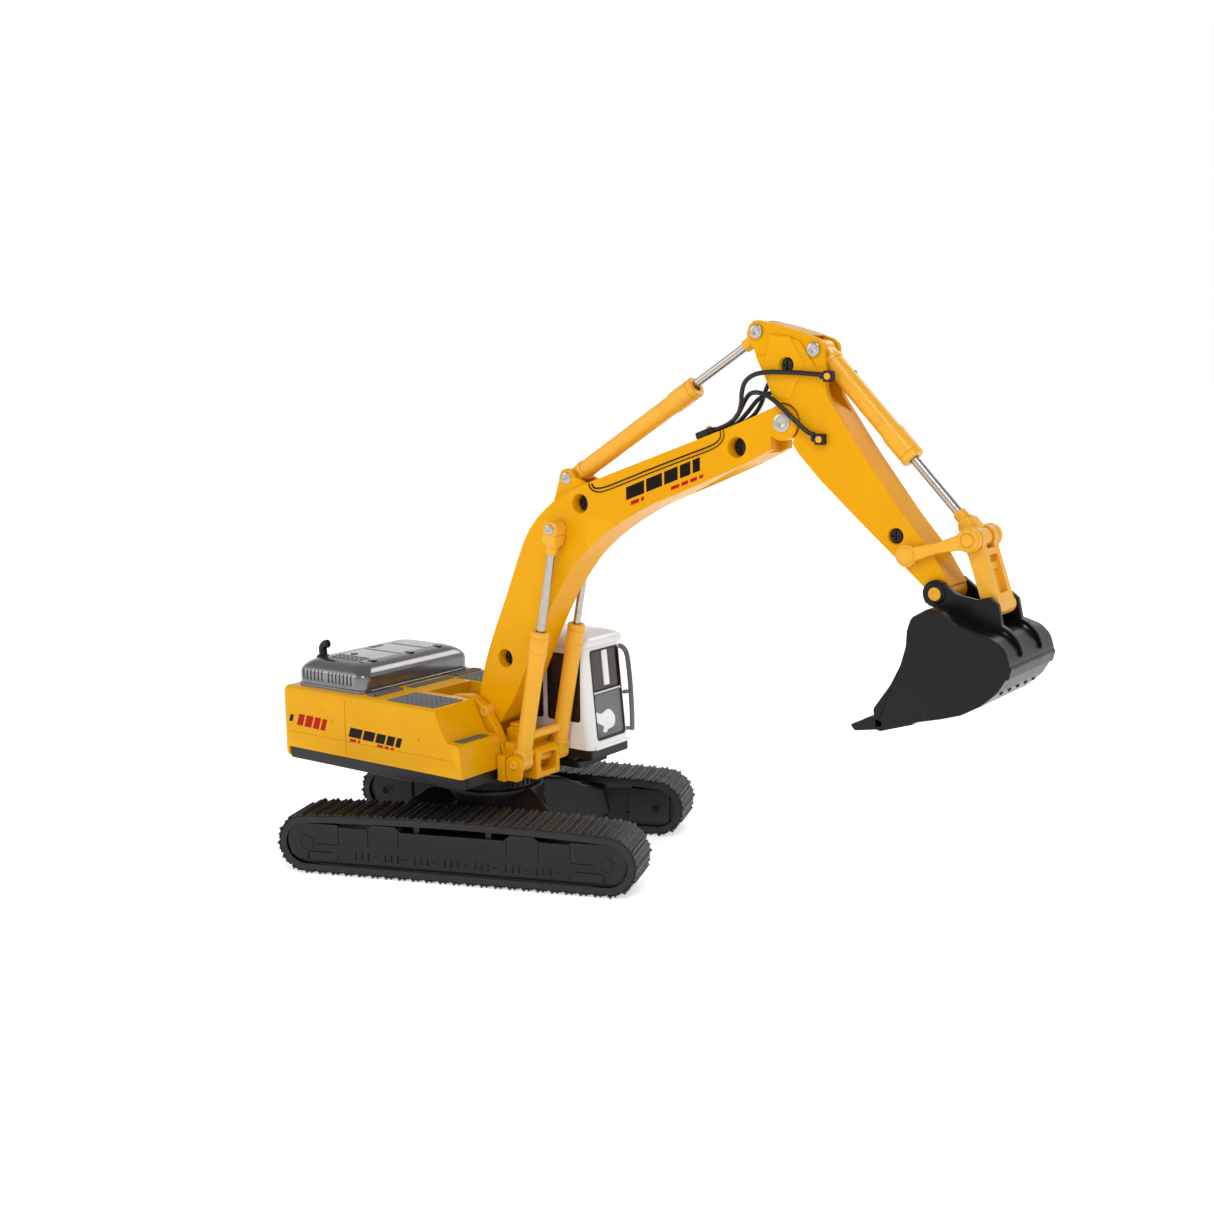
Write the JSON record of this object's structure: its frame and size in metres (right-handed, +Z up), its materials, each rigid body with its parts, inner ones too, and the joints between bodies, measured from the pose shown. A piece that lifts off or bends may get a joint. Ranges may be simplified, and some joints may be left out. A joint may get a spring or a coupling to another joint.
{
  "type": "toy excavator",
  "caption": "Small-scale toy tracked excavator with a turning upper body, glazed cab, jointed boom, stick and bucket with cylinders, hoses and a bucket linkage.",
  "frame": {"origin": "centre of the whole model's box, on the ground under the treads", "axes": "+X the way the boom points, +Y the machine's left, +Z up"},
  "size_m": [0.2121, 0.0986, 0.1425],
  "materials": {
    "yellow_body": "gloss enamel over a casting",
    "yellow_arm": "gloss yellow",
    "yellow_linkage": "satin yellow",
    "rod_steel": "polished rod with a yellow eye",
    "pin_steel": "riveted pins and screws",
    "black_screw": "blackened screws",
    "black_plastic": "satin black",
    "bucket_black": "semi-gloss black",
    "track_rubber": "matt black rubber",
    "hose_rubber": "black rubber",
    "gunmetal": "metallic grey, glossy",
    "white_cab": "gloss white",
    "smoked_glass": "dark smoked clear plastic",
    "seat_grey": "satin dark grey",
    "grey_trim": "grey print and plastic"
  },
  "bodies": {
    "undercarriage": {"chassis": "black_plastic", "side_frame_right": "black_plastic", "side_frame_left": "black_plastic", "track_right": "track_rubber", "track_left": "track_rubber", "axles": "black_plastic", "pivot_screw": "pin_steel"},
    "sprocket_right": {"sprocket_right": "black_plastic"},
    "sprocket_left": {"sprocket_left": "black_plastic"},
    "idler_right": {"idler_right": "black_plastic"},
    "idler_left": {"idler_left": "black_plastic"},
    "superstructure": {"deck": "yellow_body", "base_skirt": "black_plastic", "engine_hood": "gunmetal", "exhaust": "black_plastic", "cab_shell": "white_cab", "cab_glass": "smoked_glass", "cab_base": "black_plastic", "cab_seat": "seat_grey", "handrail": "grey_trim", "grip_mats": "grey_trim", "boom_bracket": "yellow_body", "boom_foot_pin": "pin_steel", "cylinder_foot_pin": "yellow_linkage", "base_screws": "pin_steel"},
    "boom": {"boom_right": "yellow_arm", "boom_left": "yellow_arm", "boom_screws": "black_screw", "boom_rod_pin": "pin_steel", "stick_barrel_pin": "pin_steel", "stick_pin": "pin_steel", "hose_clamp": "hose_rubber", "hose_upper_right": "hose_rubber", "hose_lower_right": "hose_rubber", "hose_upper_left": "hose_rubber", "hose_lower_left": "hose_rubber"},
    "boom_barrels": {"boom_barrels": "yellow_linkage"},
    "boom_rods": {"boom_rod_right": "rod_steel", "boom_rod_left": "rod_steel"},
    "stick": {"stick_right": "yellow_arm", "stick_left": "yellow_arm", "stick_screws": "black_screw", "stick_rod_pin": "pin_steel", "bucket_barrel_pin": "pin_steel", "rocker_pin": "pin_steel", "hose_ends": "hose_rubber"},
    "stick_barrel": {"stick_barrel": "yellow_linkage"},
    "stick_rod": {"stick_rod": "rod_steel"},
    "bucket_barrel": {"bucket_barrel": "yellow_linkage"},
    "bucket_rod": {"bucket_rod": "rod_steel"},
    "rocker": {"rocker_right": "yellow_linkage", "rocker_left": "yellow_linkage", "link_pin": "pin_steel"},
    "bucket_link": {"bucket_link": "yellow_linkage"},
    "bucket": {"bucket": "bucket_black", "bucket_pin": "pin_steel"}
  },
  "joints": [
    {"name": "swing", "type": "hinge", "parent": "undercarriage", "child": "superstructure", "pos_m": [-0.0474, 0, 0], "axis": [0, 0, 1], "continuous": true},
    {"name": "sprocket_right_spin", "type": "hinge", "parent": "undercarriage", "child": "sprocket_right", "pos_m": [-0.07694, -0.03938, 0.00835], "axis": [0.3567, -0.9342, 0], "continuous": true},
    {"name": "idler_right_spin", "type": "hinge", "parent": "undercarriage", "child": "idler_right", "pos_m": [0.00087, -0.00966, 0.00835], "axis": [0.3567, -0.9342, 0], "continuous": true},
    {"name": "sprocket_left_spin", "type": "hinge", "parent": "undercarriage", "child": "sprocket_left", "pos_m": [-0.09567, 0.00966, 0.00835], "axis": [0.3567, -0.9342, 0], "continuous": true},
    {"name": "idler_left_spin", "type": "hinge", "parent": "undercarriage", "child": "idler_left", "pos_m": [-0.01785, 0.03938, 0.00835], "axis": [0.3567, -0.9342, 0], "continuous": true},
    {"name": "boom_lift", "type": "hinge", "parent": "superstructure", "child": "boom", "pos_m": [-0.0434, 0, 0.041], "axis": [0, -1, 0], "range_deg": [-35, 8]},
    {"name": "boom_barrel_tilt", "type": "hinge", "parent": "superstructure", "child": "boom_barrels", "pos_m": [-0.0306, 0, 0.0284], "axis": [0, -1, 0], "range_deg": [-32.33, 8.16]},
    {"name": "boom_rod_tilt", "type": "hinge", "parent": "boom", "child": "boom_rods", "pos_m": [-0.018, 0, 0.0918], "axis": [0, -1, 0], "range_deg": [-1.84, 4.67]},
    {"name": "stick_swing", "type": "hinge", "parent": "boom", "child": "stick", "pos_m": [0.0468, 0, 0.1192], "axis": [0, -1, 0], "range_deg": [-35, 16], "deforming": ["hose_upper_right", "hose_lower_right", "hose_upper_left", "hose_lower_left"]},
    {"name": "stick_barrel_tilt", "type": "hinge", "parent": "boom", "child": "stick_barrel", "pos_m": [-0.0168, 0, 0.1047], "axis": [0, -1, 0], "range_deg": [-4.85, 2.76]},
    {"name": "stick_rod_tilt", "type": "hinge", "parent": "stick", "child": "stick_rod", "pos_m": [0.0397, 0, 0.14], "axis": [0, -1, 0], "range_deg": [-15.24, 32.15]},
    {"name": "bucket_curl", "type": "hinge", "parent": "stick", "child": "bucket", "pos_m": [0.0858, 0, 0.0828], "axis": [0, -1, 0], "range_deg": [-60, 20]},
    {"name": "rocker_tilt", "type": "hinge", "parent": "stick", "child": "rocker", "pos_m": [0.0787, 0, 0.0906], "axis": [0, -1, 0], "range_deg": [-38.2, 13.4]},
    {"name": "bucket_link_tilt", "type": "hinge", "parent": "rocker", "child": "bucket_link", "pos_m": [0.093, 0, 0.0948], "axis": [0, -1, 0], "range_deg": [-4.12, 10.36]},
    {"name": "bucket_barrel_tilt", "type": "hinge", "parent": "stick", "child": "bucket_barrel", "pos_m": [0.0546, 0, 0.1356], "axis": [0, -1, 0], "range_deg": [-6.58, 2.86]},
    {"name": "bucket_rod_tilt", "type": "hinge", "parent": "rocker", "child": "bucket_rod", "pos_m": [0.093, 0, 0.0948], "axis": [0, -1, 0], "range_deg": [-11.54, 32.62]}
  ],
  "couplings": [
    {"joint": "idler_right_spin", "follows": "sprocket_right_spin", "ratio": 1},
    {"joint": "idler_left_spin", "follows": "sprocket_left_spin", "ratio": 1},
    {"joint": "boom_barrel_tilt", "follows": "boom_lift", "ratio": 0.895},
    {"joint": "boom_rod_tilt", "follows": "boom_lift", "ratio": -0.105},
    {"joint": "stick_barrel_tilt", "follows": "stick_swing", "ratio": 0.11},
    {"joint": "stick_rod_tilt", "follows": "stick_swing", "ratio": -0.89},
    {"joint": "rocker_tilt", "follows": "bucket_curl", "ratio": 0.62},
    {"joint": "bucket_link_tilt", "follows": "bucket_curl", "ratio": -0.156},
    {"joint": "bucket_barrel_tilt", "follows": "bucket_curl", "ratio": 0.093},
    {"joint": "bucket_rod_tilt", "follows": "bucket_curl", "ratio": -0.527}
  ]
}
